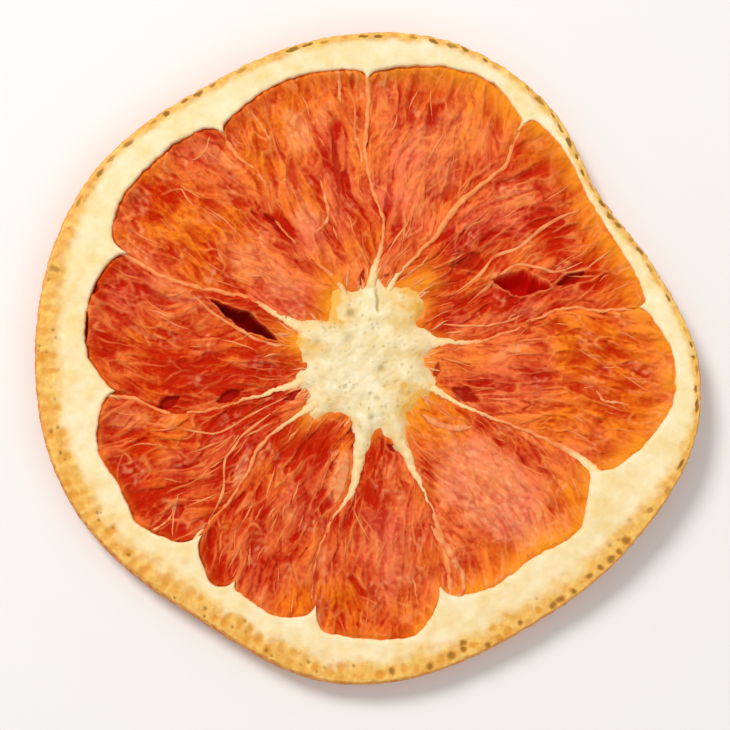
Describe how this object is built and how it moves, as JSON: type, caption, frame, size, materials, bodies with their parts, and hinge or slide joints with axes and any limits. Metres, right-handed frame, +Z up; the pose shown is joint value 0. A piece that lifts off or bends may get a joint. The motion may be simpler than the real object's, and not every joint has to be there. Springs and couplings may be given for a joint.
{
  "type": "freeze-dried orange slice",
  "caption": "Thin dried orange slice: uneven rind and pith rim, sunk flesh between radial membranes, raised core, two tears, cut face up.",
  "frame": {"origin": "on the resting plane, under the middle of the slice's bounding box", "axes": "+Z up, out of the shown cut face; +X to the right and +Y to the top of the slice as the picture shows it"},
  "size_m": [0.0699, 0.0689, 0.0049],
  "materials": {
    "dried_orange": "matte, dry and porous"
  },
  "bodies": {
    "root": {"orange_slice": "dried_orange"}
  },
  "joints": []
}
